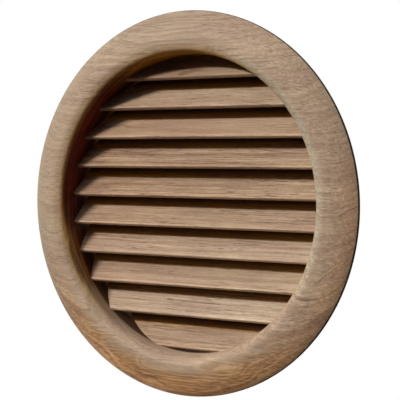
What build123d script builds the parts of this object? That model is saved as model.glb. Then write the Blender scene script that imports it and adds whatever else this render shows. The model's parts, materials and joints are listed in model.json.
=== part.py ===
from build123d import *
import math
import os

# Round wooden vent grille: a turned ring with a spigot behind its flange, and fixed sloping slats let into its bore.
# Millimetres. The origin is the ring's centre on the flange's back plane, where it meets the wall.
# The face looks along -Y, the spigot runs along +Y and +Z is up. The slats run along X.

# Duct and spigot
duct_diameter = 125.0
duct_gap = 0.5             # radial play between the spigot and the duct
spigot_wall = 3.4
spigot_length = 22.0
spigot_lead = 1.0          # chamfer that leads the spigot into the duct

# Flange
flange_overlap = 12.5      # how far the flange covers the wall outside the duct
face_height = 5.8          # crest of the face in front of the wall
rim_side = 1.3             # straight outer side of the flange
rim_arris = 0.4            # chamfer that eases the edge between the crowned face and the side
inner_roll_radius = 4.3    # quarter round from the crest into the bore

# Slats
slat_count = 10
slat_angle = 45.0          # slope from level, rising towards the back
slat_width = 18.0          # along the slope
slat_thickness = 3.0
nose_thickness = 1.3       # what is left of the front edge after the level bevel under it
slat_arris = 0.25          # chamfer that eases the slat's long edges
nose_setback = 2.35        # front edges of the slats behind the wall plane
top_slat_margin = 8.75     # bore's top down to the top slat's front edge
bottom_slat_drop = 0.95    # the bottom slat sits this much below the even spacing

# Housings in the bore that hold the slat ends
housing_depth = 1.5
housing_end_gap = 0.2      # glue gap beyond each slat end

# Worked out from the sizes above
spigot_radius = duct_diameter / 2 - duct_gap
bore_radius = spigot_radius - spigot_wall
flange_radius = duct_diameter / 2 + flange_overlap
crest_radius = bore_radius + inner_roll_radius
slat_pitch = 2 * bore_radius / slat_count


def ring_profile():
    """Half section of the ring, with X as the radius and Y as the axis."""
    roll_end = (bore_radius, inner_roll_radius - face_height)
    crest = (crest_radius, -face_height)
    rim = (flange_radius, -rim_side)
    roll = TangentArc(crest, roll_end, tangent=(-1, 0))
    crown = TangentArc(crest, rim, tangent=(1, 0))
    back = Polyline(
        rim,
        (flange_radius, 0),
        (spigot_radius, 0),
        (spigot_radius, spigot_length - spigot_lead),
        (spigot_radius - spigot_lead, spigot_length),
        (bore_radius, spigot_length),
        roll_end,
    )
    section = make_face(Curve() + [roll, crown, back])
    rim_corner = section.vertices().sort_by_distance(rim)[0]
    return chamfer(rim_corner, rim_arris)


def turned_ring():
    """The ring as it comes off the lathe, before the housings are cut."""
    return revolve(ring_profile(), Axis.Y)


def slat_height(index):
    """Height of a slat's front edge, counted from the top slat, which is 0."""
    height = bore_radius - top_slat_margin - index * slat_pitch
    is_bottom = index == slat_count - 1
    return height - bottom_slat_drop if is_bottom else height


def housing_section(height):
    """Section across a housing, which is a slat's section with sharp corners. The slat's front edge is at height."""
    slope = math.radians(slat_angle)
    up_slope = Vector(math.cos(slope), math.sin(slope))
    into_slat = Vector(math.sin(slope), -math.cos(slope))
    nose_top = Vector(nose_setback, height)
    nose_bottom = nose_top + into_slat * nose_thickness
    bevel_length = (slat_thickness - nose_thickness) / math.sin(slope)
    bevel_end = nose_bottom + Vector(bevel_length, 0)
    rear_top = nose_top + up_slope * slat_width
    rear_bottom = rear_top + into_slat * slat_thickness
    return make_face(Polyline(nose_top, nose_bottom, bevel_end, rear_bottom, rear_top, close=True))


def slat_section(height):
    """Section across a slat, with its corners eased."""
    sharp = housing_section(height)
    return chamfer(sharp.vertices(), slat_arris)


def bar_between_ends(section, end_radius):
    """The section drawn out along X and cut off at both ends by a cylinder round the ring's axis."""
    bar = extrude(Plane.YZ * section, amount=end_radius, both=True)
    end_cutter = Rot(90, 0, 0) * Cylinder(end_radius, 4 * spigot_length)
    return bar & end_cutter


def slats():
    """All the slats, from the top one down."""
    end_radius = bore_radius + housing_depth
    return [bar_between_ends(slat_section(slat_height(i)), end_radius) for i in range(slat_count)]


def housed_ring():
    """The turned ring with a housing cut into its bore for each slat end."""
    cut_radius = bore_radius + housing_depth + housing_end_gap
    housings = [bar_between_ends(housing_section(slat_height(i)), cut_radius) for i in range(slat_count)]
    return turned_ring() - housings


def export_parts():
    """Writes the ring and each slat to its own file."""
    os.makedirs("parts", exist_ok=True)
    export_step(housed_ring(), "parts/ring_frame.step")
    for number, slat in enumerate(slats(), start=1):
        export_step(slat, f"parts/slat_{number:02d}.step")


export_parts()
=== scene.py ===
import json
import math
import bmesh
import bpy
from mathutils import Matrix, Vector


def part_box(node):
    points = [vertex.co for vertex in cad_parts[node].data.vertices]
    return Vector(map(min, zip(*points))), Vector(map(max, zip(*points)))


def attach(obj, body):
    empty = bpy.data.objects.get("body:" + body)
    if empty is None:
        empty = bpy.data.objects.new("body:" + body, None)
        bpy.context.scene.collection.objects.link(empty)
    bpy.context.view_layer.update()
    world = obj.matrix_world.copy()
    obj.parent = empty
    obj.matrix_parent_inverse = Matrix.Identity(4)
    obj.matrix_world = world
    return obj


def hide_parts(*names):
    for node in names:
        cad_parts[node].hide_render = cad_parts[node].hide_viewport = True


# Round wooden vent grille in metres: a turned ring of one board and ten sloping slats, each of its own board.
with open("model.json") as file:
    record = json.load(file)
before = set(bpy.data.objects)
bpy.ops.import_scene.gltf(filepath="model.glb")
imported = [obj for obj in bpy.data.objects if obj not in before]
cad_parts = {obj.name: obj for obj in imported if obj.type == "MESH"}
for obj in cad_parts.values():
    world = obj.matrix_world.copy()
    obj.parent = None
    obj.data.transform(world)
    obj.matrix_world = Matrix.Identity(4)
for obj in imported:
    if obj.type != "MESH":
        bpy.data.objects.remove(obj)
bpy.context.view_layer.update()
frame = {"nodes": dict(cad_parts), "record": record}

MM = 0.001

# Ring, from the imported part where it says, else as in the part's own sizes
ring_low, ring_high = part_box("ring_frame")
mounts = {mount["name"]: mount for mount in frame["record"]["mounts"]}
flange_radius = ring_high.x
face_height = -ring_low.y
spigot_length = ring_high.y
spigot_radius = mounts["spigot"]["dims"]["r_mm"] * MM
spigot_wall = 3.4 * MM
spigot_lead = 1.0 * MM
rim_side = 1.3 * MM
rim_rounding = 0.24 * MM
inner_roll_radius = 4.3 * MM
bore_radius = spigot_radius - spigot_wall
crest_radius = bore_radius + inner_roll_radius

# Slats
slat_nodes = sorted(name for name in frame["nodes"] if name.startswith("slat_"))
slat_slope = math.radians(45)
slat_width = 18.0 * MM
slat_thickness = 3.0 * MM
nose_thickness = 1.3 * MM
nose_setback = 2.35 * MM
slat_rounding = 0.3 * MM
housing_depth = 1.5 * MM

# Fineness of the meshes
steps_round_ring = 320
crown_steps = 26
roll_steps = 14
slat_levels = 24
crease_angle = math.radians(28)

# Colours of the wood
ring_colour = (0.372, 0.261, 0.175, 1)
warm_dark_colour = (0.325, 0.176, 0.083, 1)
warm_light_colour = (0.405, 0.248, 0.130, 1)
# Painted shade on the flange's rim side
rim_side_painted_shade_colour = (0.02, 0.012, 0.008, 1)
slat_colour = (0.365, 0.237, 0.147)
pore_colour = (0.11, 0.062, 0.035, 1)

# What each place does to the ring's colour. The recess, wall and gap tints are painted shade that deepens the
# shade inside the bore.
recess_painted_shade_tint = (0.24, 0.068, 0.090, 1)
# Painted light on the roll's shaded side
roll_painted_light_tint = (1.75, 1.60, 1.32, 1)
# Warm painted shade further in down the roll
warm_roll_painted_shade_tint = (1.12, 1.05, 0.62, 1)
top_wall_painted_shade_tint = (0.55, 0.38, 0.085, 1)
black_wall_painted_shade_tint = (0.22, 0.10, 0.20, 1)
low_wall_painted_shade_tint = (0.56, 0.30, 0.10, 1)
low_gap_painted_shade_tint = (0.20, 0.11, 0.055, 1)
# Painted light on the right side of the inner roll, which faces the lamp
right_roll_painted_light_tint = (1.10, 1.25, 1.30, 1)
# Painted shade on the lit outer side
bright_side_painted_shade_tint = (0.89, 0.92, 0.94, 1)
# Painted light on the far outer side, low on the right
far_side_painted_light_tint = (1.54, 1.33, 1.16, 1)
turned_dark_tint = (0.50, 0.42, 0.42, 1)
turned_light_tint = (1.50, 1.50, 1.45, 1)

# What each place does to a slat's colour. The deep ones are painted shade on its upper face towards the back.
# Painted light on the slat's shaded front edge
nose_painted_light_tint = (1.35, 1.25, 1.15, 1)
lip_tint = (1.16, 1.18, 1.18, 1)
deep_painted_shade_tint = (1.35, 1.00, 0.25, 1)
low_deep_painted_shade_tint = (1.30, 1.00, 0.48, 1)
deepest_painted_shade_tint = (0.05, 0.01, 0.02, 1)
left_end_tint = (0.94, 0.91, 0.92, 1)
right_end_tint = (1.02, 1.07, 1.10, 1)
first_low_slat = 9

# Heights above a slat's front edge, in millimetres, over which its tones fade in or out
nose_fade = (0.10, -0.10)
lip_start = (0.05, 0.20)
lip_end = (0.75, 0.45)
deep_start = (6.6, 7.8)
deepest_start = (7.2, 10.6)

# Each slat's own board, from the top slat down: how light, how grey and how strongly figured it is
slat_tones = (0.84, 1.0, 0.96, 0.90, 0.93, 0.96, 1.05, 1.0, 1.09, 1.0)
slat_greys = (0.0, 0.5, 0.0, 0.0, 0.0, 0.2, 0.6, 0.4, 1.0, 0.3)
slat_strengths = (0.9, 1.0, 0.8, 1.35, 1.4, 1.1, 1.1, 0.9, 1.1, 1.1)

# How the streaks and the short curly marks tint the wood: the mark, the range of its mask and the tints at
# the two ends of that range
untinted = (1.0, 1.0, 1.0, 1)
streak_tints = [
    ("Patches", 0.35, 0.65, (0.92, 0.90, 0.92, 1), (1.06, 1.08, 1.06, 1)),
    ("Growth", 0.30, 0.70, (0.86, 0.84, 0.82, 1), (1.07, 1.08, 1.09, 1)),
    ("Lines", 0.0, 1.0, untinted, (0.70, 0.62, 0.55, 1)),
    ("Fibres", 0.32, 0.68, (0.82, 0.80, 0.77, 1), (1.15, 1.16, 1.18, 1)),
]
curl_tints = [
    ("Mottle", 0.32, 0.68, (0.90, 0.89, 0.88, 1), (1.09, 1.09, 1.10, 1)),
    ("Flecks", 0.0, 1.0, untinted, (1.20, 1.22, 1.26, 1)),
]
relief_strength = 0.5
relief_depth = 0.05 * MM
least_roughness = 0.48
fibre_roughness = 0.18
dull_roughness = 0.45
specular_level = 0.13

# Camera at the photograph's viewing angle
camera_turn = math.radians(33.36)
camera_rise = math.radians(1.88)
camera_roll = math.radians(0.24)
camera_distance = 480.2 * MM
camera_side_shift = 5.44 * MM
camera_up_shift = 1.56 * MM
sensor_width = 36.0
lens = 110.78

# Lamps: name, degrees to the left of the front, degrees above it, strength, width and height in degrees
lamps = [
    ("key", 31, 29.5, 3.35, 14, 4),
    ("soft_box", 30, 50, 2.0, 60, 60),
    ("back_low", 180, -50, 1.0, 40, 40),
    ("back", 180, 5, 1.1, 50, 50),
    ("right_side", -115, 0, 0.4, 40, 40),
]
lamp_distance = 6.0
room_light = 0.006

# Floor
floor_level = -0.30
floor_radius = 0.9
floor_colour = (0.85, 0.85, 0.85, 1)
floor_roughness = 0.9


def new_piece(name, bm, node):
    """Turns the bmesh into an object that stands for a CAD node."""
    bmesh.ops.recalc_face_normals(bm, faces=bm.faces)
    for face in bm.faces:
        face.smooth = True
    for edge in bm.edges:
        edge.smooth = edge.calc_face_angle(0) < crease_angle
    mesh = bpy.data.meshes.new(name)
    bm.to_mesh(mesh)
    bm.free()
    piece = bpy.data.objects.new(name, mesh)
    bpy.context.scene.collection.objects.link(piece)
    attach(piece, "root")
    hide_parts(node)
    return piece


def ring_piece():
    """The turned ring: its half section spun round the Y axis. In the section X is the radius."""
    bm = bmesh.new()
    drop = face_height - rim_side
    reach = flange_radius - crest_radius
    crown_radius = (reach ** 2 + drop ** 2) / (2 * drop)
    crown_angle = math.asin(reach / crown_radius)
    crown_centre = (crest_radius, crown_radius - face_height, 0)
    roll_centre = (crest_radius, inner_roll_radius - face_height, 0)

    def arc_from(vert, centre, angle, steps):
        made = bmesh.ops.spin(
            bm, geom=[vert], cent=centre, axis=(0, 0, 1), dvec=(0, 0, 0), angle=angle, steps=steps)
        return made["geom_last"][0]

    def line_from(vert, radius, y):
        end = bm.verts.new((radius, y, 0))
        bm.edges.new((vert, end))
        return end

    rim = bm.verts.new((flange_radius, -rim_side, 0))
    crest = arc_from(rim, crown_centre, -crown_angle, crown_steps)
    bore_front = arc_from(crest, roll_centre, -math.pi / 2, roll_steps)
    bore_back = line_from(bore_front, bore_radius, spigot_length)
    lead_end = line_from(bore_back, spigot_radius - spigot_lead, spigot_length)
    lead_start = line_from(lead_end, spigot_radius, spigot_length - spigot_lead)
    shoulder = line_from(lead_start, spigot_radius, 0)
    back_edge = line_from(shoulder, flange_radius, 0)
    bm.edges.new((back_edge, rim))
    arrises = [rim, back_edge, bore_back]
    bmesh.ops.bevel(
        bm, geom=arrises, offset=rim_rounding, offset_type="OFFSET", segments=4, profile=0.5,
        affect="VERTICES", material=-1)
    bmesh.ops.spin(
        bm, geom=bm.verts[:] + bm.edges[:], cent=(0, 0, 0), axis=(0, 1, 0), dvec=(0, 0, 0),
        angle=math.tau, steps=steps_round_ring, use_merge=True)
    return new_piece("turned_ring", bm, "ring_frame")


def nose_height_of(node):
    """Height of the top of a slat's front edge."""
    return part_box(node)[0].z + nose_thickness * math.cos(slat_slope)


def slat_piece(node):
    """One slat: its section drawn out along X and its ends following the housings' round bottoms."""
    nose_height = nose_height_of(node)
    end_radius = bore_radius + housing_depth
    up_slope = Vector((0, math.cos(slat_slope), math.sin(slat_slope)))
    into_slat = Vector((0, math.sin(slat_slope), -math.cos(slat_slope)))
    nose_top = Vector((0, nose_setback, nose_height))
    nose_bottom = nose_top + into_slat * nose_thickness
    bevel_length = (slat_thickness - nose_thickness) / math.sin(slat_slope)
    bevel_end = nose_bottom + Vector((0, bevel_length, 0))
    rear_top = nose_top + up_slope * slat_width
    rear_bottom = rear_top + into_slat * slat_thickness

    bm = bmesh.new()
    corners = [bm.verts.new(p) for p in (nose_top, nose_bottom, bevel_end, rear_bottom, rear_top)]
    bm.faces.new(corners)
    bmesh.ops.bevel(
        bm, geom=corners, offset=slat_rounding, offset_type="OFFSET", segments=4, profile=0.5,
        affect="VERTICES", material=-1)
    far_side = bmesh.ops.extrude_face_region(bm, geom=bm.faces[:])
    far_verts = [item for item in far_side["geom"] if isinstance(item, bmesh.types.BMVert)]
    bmesh.ops.translate(bm, verts=bm.verts, vec=(-end_radius, 0, 0))
    bmesh.ops.translate(bm, verts=far_verts, vec=(2 * end_radius, 0, 0))

    # The top slat would rise past the round, so it is cut off level just before its ends would meet
    top_level = end_radius * math.cos(math.radians(1))
    bmesh.ops.bisect_plane(
        bm, geom=bm.verts[:] + bm.edges[:] + bm.faces[:], plane_co=(0, 0, top_level),
        plane_no=(0, 0, 1), clear_outer=True)
    bmesh.ops.holes_fill(bm, edges=[edge for edge in bm.edges if edge.is_boundary])

    # Level cuts give the ends enough points to follow the round
    lowest = min(vert.co.z for vert in bm.verts)
    highest = max(vert.co.z for vert in bm.verts)
    for level in range(1, slat_levels):
        cut = lowest + (highest - lowest) * level / slat_levels
        bmesh.ops.bisect_plane(
            bm, geom=bm.verts[:] + bm.edges[:] + bm.faces[:], plane_co=(0, 0, cut), plane_no=(0, 0, 1))

    for vert in bm.verts:
        half_length = math.sqrt(end_radius ** 2 - vert.co.z ** 2)
        vert.co.x = math.copysign(half_length, vert.co.x)
    return new_piece(node.replace("slat", "louvre"), bm, node)


# Materials

def add_node(tree, kind, **settings):
    made = tree.nodes.new(kind)
    for name, value in settings.items():
        setattr(made, name, value)
    return made


def put(tree, socket, value):
    """Links the value to the socket if it is a socket, or else sets it there."""
    if isinstance(value, bpy.types.NodeSocket):
        tree.links.new(value, socket)
    else:
        socket.default_value = value


def math_node(tree, operation, first, second=0.0, third=0.0):
    made = add_node(tree, "ShaderNodeMath", operation=operation)
    for socket, value in zip(made.inputs, (first, second, third)):
        put(tree, socket, value)
    return made.outputs[0]


def vector_node(tree, operation, first, second=(0, 0, 0)):
    made = add_node(tree, "ShaderNodeVectorMath", operation=operation)
    put(tree, made.inputs[0], first)
    put(tree, made.inputs[1], second)
    return made.outputs[1] if operation == "LENGTH" else made.outputs[0]


def mix_colours(tree, factor, first, second, blend="MIX", clamp=True):
    made = add_node(tree, "ShaderNodeMix", data_type="RGBA", blend_type=blend, clamp_factor=clamp)
    put(tree, made.inputs[0], factor)
    put(tree, made.inputs[6], first)
    put(tree, made.inputs[7], second)
    return made.outputs[2]


def tinted(tree, mask, colour, tint):
    """The colour, multiplied by the tint where the mask is whole."""
    return mix_colours(tree, mask, colour, tint, "MULTIPLY")


def multiplied(tree, first, second):
    return math_node(tree, "MULTIPLY", first, second)


def multiply_add(tree, value, factor, base):
    """The base plus the value times the factor."""
    return math_node(tree, "MULTIPLY_ADD", value, factor, base)


def difference(tree, first, second):
    return math_node(tree, "SUBTRACT", first, second)


def axes_of(tree, vector):
    apart = add_node(tree, "ShaderNodeSeparateXYZ")
    put(tree, apart.inputs[0], vector)
    return apart.outputs


def smooth_step(tree, value, low, high):
    """Goes smoothly from 0 at low to 1 at high, where low may be the larger of the two."""
    made = add_node(tree, "ShaderNodeMapRange", interpolation_type="SMOOTHSTEP")
    put(tree, made.inputs["Value"], value)
    put(tree, made.inputs["From Min"], low)
    put(tree, made.inputs["From Max"], high)
    return made.outputs["Result"]


def noise(tree, vector, scale, detail=2.0, roughness=0.5):
    made = add_node(tree, "ShaderNodeTexNoise")
    put(tree, made.inputs["Vector"], vector)
    made.inputs["Scale"].default_value = scale
    made.inputs["Detail"].default_value = detail
    made.inputs["Roughness"].default_value = roughness
    return made


def new_group(name, inputs, outputs):
    """Starts a node group and gives it with its input and output nodes."""
    group = bpy.data.node_groups.new(name, "ShaderNodeTree")
    for label, kind, value in inputs:
        socket = group.interface.new_socket(name=label, in_out="INPUT", socket_type="NodeSocket" + kind)
        socket.default_value = value
    for label, kind in outputs:
        group.interface.new_socket(name=label, in_out="OUTPUT", socket_type="NodeSocket" + kind)
    return group, group.nodes.new("NodeGroupInput"), group.nodes.new("NodeGroupOutput")


def board_group():
    """The figure of a sawn board: growth rings round a pith along X, fibres, pores, flecks, patches and
    mottle."""
    group, given, result = new_group(
        "board_figure",
        [("Place", "Vector", (0, 0, 0)), ("Pith", "Vector", (0, 0, 0)), ("Wander", "Float", 1.0)],
        [("Growth", "Float"), ("Lines", "Float"), ("Fibres", "Float"), ("Pores", "Float"),
         ("Flecks", "Float"), ("Patches", "Float"), ("Mottle", "Float")])
    place = given.outputs["Place"]

    def stretched(along, across):
        """The place, scaled along the grain and across it. Marks are long where the scale along is small."""
        return vector_node(group, "MULTIPLY", place, (along, across, across))

    def give(name, value):
        put(group, result.inputs[name], value)

    wander = noise(group, stretched(0.030, 0.06), 1.0, 2.0)
    centred = vector_node(group, "SUBTRACT", wander.outputs["Color"], (0.5, 0.5, 0.5))
    sway = add_node(group, "ShaderNodeVectorMath", operation="SCALE")
    put(group, sway.inputs[0], centred)
    put(group, sway.inputs["Scale"], given.outputs["Wander"])
    swayed = vector_node(group, "ADD", place, sway.outputs[0])
    from_pith = vector_node(group, "SUBTRACT", swayed, given.outputs["Pith"])
    across_only = vector_node(group, "MULTIPLY", from_pith, (0, 1, 1))
    depth = vector_node(group, "LENGTH", across_only)

    growth = add_node(group, "ShaderNodeTexNoise", noise_dimensions="1D")
    put(group, growth.inputs["W"], depth)
    growth.inputs["Scale"].default_value = 0.62
    growth.inputs["Detail"].default_value = 3.0
    growth.inputs["Roughness"].default_value = 0.6
    give("Growth", growth.outputs["Fac"])

    patches = noise(group, stretched(0.035, 0.10), 1.0, 2.0).outputs["Fac"]
    give("Patches", patches)

    years_per_mm = 0.21
    line_width = 0.11
    year = math_node(group, "ADD", patches, multiplied(group, depth, years_per_mm))
    part_of_year = math_node(group, "FRACT", year)
    line = smooth_step(group, part_of_year, line_width, 0.0)
    fading = noise(group, stretched(0.05, 0.12), 1.0, 1.0).outputs["Fac"]
    give("Lines", multiplied(group, line, smooth_step(group, fading, 0.42, 0.60)))

    give("Fibres", noise(group, stretched(0.042, 1.7), 1.0, 4.0, 0.64).outputs["Fac"])

    pores = noise(group, stretched(0.17, 3.0), 1.0, 1.0, 0.5).outputs["Fac"]
    crowded = noise(group, stretched(0.025, 0.22), 1.0, 1.0, 0.5).outputs["Fac"]
    dense = multiply_add(group, smooth_step(group, crowded, 0.42, 0.62), 0.75, 0.25)
    give("Pores", multiplied(group, smooth_step(group, pores, 0.56, 0.68), dense))

    flecks = noise(group, stretched(0.40, 2.0), 1.3, 1.0, 0.5).outputs["Fac"]
    give("Flecks", smooth_step(group, flecks, 0.60, 0.74))
    give("Mottle", noise(group, stretched(0.60, 1.0), 1.0, 3.0, 0.65).outputs["Fac"])
    return group


def wood_base(name, board, offset, pith, wander):
    """Starts a material: its place in millimetres and the board group. Gives the parts that a wood needs."""
    material = bpy.data.materials.new(name)
    material.use_nodes = True
    tree = material.node_tree
    shader = tree.nodes["Principled BSDF"]
    coordinates = add_node(tree, "ShaderNodeTexCoord")
    in_mm = vector_node(tree, "MULTIPLY", coordinates.outputs["Object"], (1 / MM, 1 / MM, 1 / MM))
    moved = vector_node(tree, "ADD", in_mm, offset)
    figure = add_node(tree, "ShaderNodeGroup", node_tree=board)
    put(tree, figure.inputs["Place"], moved)
    put(tree, figure.inputs["Pith"], pith)
    put(tree, figure.inputs["Wander"], wander)
    return material, tree, shader, in_mm, figure.outputs


def wood_surface(tree, shader, figure, colour, streaks, pores, curl, dull):
    """Lays the board's figure on a colour and gives the surface its relief. The strengths of the streaks, the
    pores and the short curly marks may vary by place, and so may how dull the wood is."""
    def marked(base, tints, strength):
        """The colour with the marks laid on. A strength over 1 makes them stronger still."""
        for mark, low, high, dark, light in tints:
            tint = mix_colours(tree, smooth_step(tree, figure[mark], low, high), dark, light)
            base = mix_colours(tree, strength, base, tint, "MULTIPLY", clamp=False)
        return base

    figured = marked(marked(colour, streak_tints, streaks), curl_tints, curl)
    pored = mix_colours(tree, multiplied(tree, figure["Pores"], pores), figured, pore_colour)
    put(tree, shader.inputs["Base Color"], pored)

    relief = difference(tree, figure["Fibres"], figure["Pores"])
    relief = math_node(tree, "ADD", relief, figure["Mottle"])
    bump = add_node(tree, "ShaderNodeBump")
    bump.inputs["Strength"].default_value = relief_strength
    bump.inputs["Distance"].default_value = relief_depth
    put(tree, bump.inputs["Height"], relief)
    put(tree, shader.inputs["Normal"], bump.outputs["Normal"])

    roughness = multiply_add(tree, figure["Fibres"], fibre_roughness, least_roughness)
    put(tree, shader.inputs["Roughness"], multiply_add(tree, dull, dull_roughness, roughness))
    shader.inputs["Specular IOR Level"].default_value = specular_level


def ring_zone(tree, place, middle, whole, gone, start=None, end=None):
    """A mask on the stretch of the ring round a direction, in degrees from the right, and between two radii.
    It is whole within so many degrees of the middle and gone past so many. Each radius fades over a range."""
    x, z, radius = place
    toward = math.radians(middle)
    along = multiplied(tree, x, math.cos(toward))
    along = multiply_add(tree, z, math.sin(toward), along)
    nearness = math_node(tree, "DIVIDE", along, radius)
    mask = smooth_step(tree, nearness, math.cos(math.radians(gone)), math.cos(math.radians(whole)))
    if start:
        mask = multiplied(tree, mask, smooth_step(tree, radius, *start))
    if end:
        mask = multiplied(tree, mask, smooth_step(tree, radius, end[1], end[0]))
    return mask


def ring_places(tree, in_mm, figure):
    """What the ring's tones go by: x, z and the radius, loosened a little or widely by the figure. In the
    bore they also go by the way in from the crest, and by a mask of the face and the bore's front part."""
    x, y, z = axes_of(tree, in_mm)
    radius = vector_node(tree, "LENGTH", vector_node(tree, "MULTIPLY", in_mm, (1, 0, 1)))
    streak = difference(tree, figure["Fibres"], 0.5)
    patch = difference(tree, figure["Patches"], 0.5)
    near = (x, z, multiply_add(tree, streak, 1.2, radius))
    wide = (x, z, multiply_add(tree, streak, 4.0, multiply_add(tree, patch, 8.0, radius)))

    inward = difference(tree, math_node(tree, "ADD", y, (face_height + crest_radius) / MM), radius)
    loose_inward = multiply_add(tree, streak, 1.5, inward)
    bore_mm = bore_radius / MM
    front_of_bore = smooth_step(tree, y, 13, 8)
    bore_wall = multiplied(tree, smooth_step(tree, radius, bore_mm + 2, bore_mm + 1), front_of_bore)
    face = smooth_step(tree, y, -1.2, -1.6)
    inside = math_node(tree, "MAXIMUM", face, bore_wall)
    return near, wide, (x, z, radius, loose_inward, inside)


def turned_tint(tree, in_mm):
    """Fine rings of light and dark that the turning left down the roll and the bore."""
    x, y, z = axes_of(tree, in_mm)
    radius = vector_node(tree, "LENGTH", vector_node(tree, "MULTIPLY", in_mm, (1, 0, 1)))
    stretch = 0.05
    turning = add_node(tree, "ShaderNodeCombineXYZ")
    put(tree, turning.inputs[0], multiplied(tree, x, stretch))
    put(tree, turning.inputs[1], difference(tree, y, radius))
    put(tree, turning.inputs[2], multiplied(tree, z, stretch))
    turned = noise(tree, turning.outputs[0], 1.1, 2.0, 0.6).outputs["Fac"]
    return mix_colours(tree, smooth_step(tree, turned, 0.38, 0.62), turned_dark_tint, turned_light_tint)


def ring_wood(board):
    """The ring's board. Its tones change round the ring and down the bore, with painted shade in the recess.
    """
    material, tree, shader, in_mm, figure = wood_base(
        "ring_oak", board, offset=(0, 0, 0), pith=(0, 46, -62), wander=7.0)
    near, wide, down_bore = ring_places(tree, in_mm, figure)
    x, z, radius, loose_inward, inside = down_bore

    def bore_zone(middle, whole, gone, start):
        """A ring zone on the bore's front part. It fades in over a range of millimetres in from the crest."""
        mask = ring_zone(tree, (x, z, radius), middle, whole, gone)
        return multiplied(tree, multiplied(tree, mask, smooth_step(tree, loose_inward, *start)), inside)

    streak = difference(tree, figure["Fibres"], 0.5)
    band = multiply_add(tree, streak, 0.8, difference(tree, figure["Growth"], 0.5))
    warm_colour = mix_colours(tree, smooth_step(tree, band, -0.09, 0.09), warm_dark_colour, warm_light_colour)
    warm_low = ring_zone(tree, wide, middle=262, whole=30, gone=65, start=(62.5, 68))
    colour = mix_colours(tree, warm_low, ring_colour, warm_colour)

    # Painted shade: the bore's recess, top wall, deep wall, low wall and the gap under the lowest slat
    low_gap = bore_zone(middle=245, whole=40, gone=60, start=(11.8, 14.0))
    tones = [
        (bore_zone(middle=156, whole=22, gone=46, start=(3.6, 7.4)), recess_painted_shade_tint),
        (bore_zone(middle=108, whole=16, gone=40, start=(3.5, 7.5)), top_wall_painted_shade_tint),
        (bore_zone(middle=150, whole=45, gone=75, start=(12.5, 17.0)), black_wall_painted_shade_tint),
        (low_gap, low_gap_painted_shade_tint),
        (bore_zone(middle=198, whole=8, gone=24, start=(7.0, 12.0)), low_wall_painted_shade_tint),
        # Painted light on the roll's shaded side
        (bore_zone(middle=130, whole=38, gone=82, start=(0.6, 4.0)), roll_painted_light_tint),
        # Warm painted shade further in down the roll
        (bore_zone(middle=140, whole=65, gone=98, start=(3.2, 6.2)), warm_roll_painted_shade_tint),
        # Painted light on the right side of the inner roll
        (ring_zone(tree, near, middle=20, whole=30, gone=60, end=(61.8, 64.0)), right_roll_painted_light_tint),
        # Painted shade on the lit outer side
        (ring_zone(tree, wide, middle=145, whole=40, gone=75, start=(65, 71)), bright_side_painted_shade_tint),
        # Painted light on the far outer side
        (ring_zone(tree, wide, middle=300, whole=45, gone=85, start=(66, 74)), far_side_painted_light_tint),
        (bore_zone(middle=155, whole=40, gone=75, start=(3.5, 7.0)), turned_tint(tree, in_mm)),
    ]
    for mask, tint in tones:
        colour = tinted(tree, mask, colour, tint)
    # Painted shade on the flange's rim side
    flange_mm = flange_radius / MM
    side = smooth_step(tree, radius, flange_mm - 0.28, flange_mm - 0.05)
    colour = mix_colours(tree, multiplied(tree, side, 0.9), colour, rim_side_painted_shade_colour)

    low_outside = ring_zone(tree, wide, middle=262, whole=35, gone=80, start=(65, 69))
    left = ring_zone(tree, near, middle=180, whole=30, gone=60)
    right = ring_zone(tree, near, middle=10, whole=35, gone=80)
    streaks = multiply_add(tree, left, -0.2, multiply_add(tree, low_outside, 0.25, 0.95))
    curl = multiply_add(tree, right, 0.8, 0.35)
    dull = math_node(tree, "ADD", low_gap, side)
    wood_surface(tree, shader, figure, colour, streaks, pores=0.5, curl=curl, dull=dull)
    return material


def slat_wood(board, number, nose_height):
    """Each slat's own board: another stretch of the same figure, in its own tone. Painted shade darkens its
    upper face towards the back."""
    offset = (37.0 * number, 61.0 * number, -43.0 * number)
    pith = (0, offset[1] + 30, offset[2] + 20)
    material, tree, shader, in_mm, figure = wood_base(
        f"slat_oak_{number:02d}", board, offset, pith, wander=3.0)
    x, y, z = axes_of(tree, in_mm)
    above_nose = difference(tree, z, nose_height / MM)
    into_slat = difference(tree, difference(tree, y, nose_setback / MM), above_nose)
    on_top = smooth_step(tree, into_slat, 1.6, 0.6)

    tone = slat_tones[number - 1]
    grey = slat_greys[number - 1]
    red, green, blue = slat_colour
    plain = (red * tone, green * tone * (1 + 0.10 * grey), blue * tone * (1 + 0.20 * grey), 1)
    end_tint = mix_colours(tree, smooth_step(tree, x, -55, 50), left_end_tint, right_end_tint)
    nose = smooth_step(tree, above_nose, *nose_fade)
    lip = multiplied(tree, smooth_step(tree, above_nose, *lip_start), smooth_step(tree, above_nose, *lip_end))
    deep = multiplied(tree, on_top, smooth_step(tree, above_nose, *deep_start))
    deepest = multiplied(tree, on_top, smooth_step(tree, above_nose, *deepest_start))
    # Painted shade on the upper face towards the back, under the slat above
    deep_end_tint = low_deep_painted_shade_tint if number >= first_low_slat else deep_painted_shade_tint
    colour = tinted(tree, 1.0, plain, end_tint)
    # The nose tint is painted light on the front edge and the deep tints are painted shade
    for mask, tint in [(nose, nose_painted_light_tint), (lip, lip_tint), (deep, deep_end_tint), (deepest, deepest_painted_shade_tint)]:
        colour = tinted(tree, mask, colour, tint)

    strength = slat_strengths[number - 1]
    wood_surface(
        tree, shader, figure, colour, strength, pores=0.75 * strength, curl=0.6 * strength, dull=deepest)
    return material


def dress():
    board = board_group()
    ring = ring_piece()
    ring.data.materials.append(ring_wood(board))
    for number, node in enumerate(slat_nodes, start=1):
        slat = slat_piece(node)
        slat.data.materials.append(slat_wood(board, number, nose_height_of(node)))


# Camera, light and floor

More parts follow.
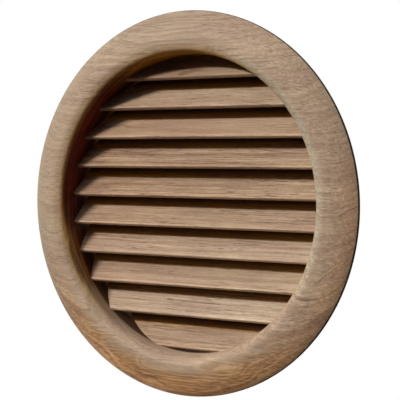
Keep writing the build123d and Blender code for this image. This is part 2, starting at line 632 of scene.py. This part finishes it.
def set_camera():
    """Turns the camera round the object, raises it, rolls it and shifts it sideways and up."""
    sin_turn, cos_turn = math.sin(camera_turn), math.cos(camera_turn)
    sin_rise, cos_rise = math.sin(camera_rise), math.cos(camera_rise)
    ahead = Vector((-sin_turn * cos_rise, cos_turn * cos_rise, -sin_rise))
    level_right = Vector((cos_turn, sin_turn, 0))
    level_up = level_right.cross(ahead)
    right = math.cos(camera_roll) * level_right + math.sin(camera_roll) * level_up
    up = math.cos(camera_roll) * level_up - math.sin(camera_roll) * level_right
    place = -ahead * camera_distance + level_right * camera_side_shift + level_up * camera_up_shift
    turn = Matrix((right, up, -ahead)).transposed().to_4x4()
    data = bpy.data.cameras.new("photo_camera")
    data.sensor_width = sensor_width
    data.lens = lens
    data.clip_start = 0.01
    camera = bpy.data.objects.new("photo_camera", data)
    camera.matrix_world = Matrix.Translation(place) @ turn
    bpy.context.scene.collection.objects.link(camera)
    bpy.context.scene.camera = camera


def hang_lamp(name, degrees_left, degrees_up, strength, width, height):
    """A far rectangular lamp, placed by its direction as seen from the middle of the ring's face."""
    turn, rise = math.radians(degrees_left), math.radians(degrees_up)
    data = bpy.data.lights.new(name, "AREA")
    data.shape = "RECTANGLE"
    data.size = 2 * lamp_distance * math.tan(math.radians(width / 2))
    data.size_y = 2 * lamp_distance * math.tan(math.radians(height / 2))
    data.energy = strength * math.pi * lamp_distance ** 2
    lamp = bpy.data.objects.new(name, data)
    source = Vector((-math.sin(turn) * math.cos(rise), -math.cos(turn) * math.cos(rise), math.sin(rise)))
    facing = source.to_track_quat("Z", "Y").to_matrix().to_4x4()
    lamp.matrix_world = Matrix.Translation(source * lamp_distance) @ facing
    lamp.visible_camera = False
    bpy.context.scene.collection.objects.link(lamp)


def set_world():
    """A world that is white to the camera and in reflections, and gives little light otherwise."""
    world = bpy.data.worlds.new("white_room")
    bpy.context.scene.world = world
    world.use_nodes = True
    tree = world.node_tree
    light = tree.nodes["Background"]
    light.inputs["Color"].default_value = (1, 1, 1, 1)
    path = add_node(tree, "ShaderNodeLightPath")
    seen = math_node(tree, "ADD", path.outputs["Is Camera Ray"], path.outputs["Is Glossy Ray"])
    seen = math_node(tree, "ADD", seen, path.outputs["Is Transmission Ray"])
    seen = math_node(tree, "MINIMUM", seen, 1.0)
    strength = math_node(tree, "MULTIPLY_ADD", seen, 1.0 - room_light, room_light)
    put(tree, light.inputs["Strength"], strength)


def lay_floor():
    """A pale round floor well below the object. Diffuse light doesn't bounce off it."""
    bm = bmesh.new()
    bmesh.ops.create_circle(bm, cap_ends=True, segments=96, radius=floor_radius)
    bmesh.ops.translate(bm, verts=bm.verts, vec=(0, 0, floor_level))
    mesh = bpy.data.meshes.new("floor")
    bm.to_mesh(mesh)
    bm.free()
    floor = bpy.data.objects.new("floor", mesh)
    bpy.context.scene.collection.objects.link(floor)
    material = bpy.data.materials.new("pale_floor")
    material.use_nodes = True
    shader = material.node_tree.nodes["Principled BSDF"]
    shader.inputs["Base Color"].default_value = floor_colour
    shader.inputs["Roughness"].default_value = floor_roughness
    mesh.materials.append(material)
    floor.visible_diffuse = False


dress()
set_camera()
for lamp_facts in lamps:
    hang_lamp(*lamp_facts)
set_world()
lay_floor()
bpy.context.scene.view_settings.view_transform = "Standard"
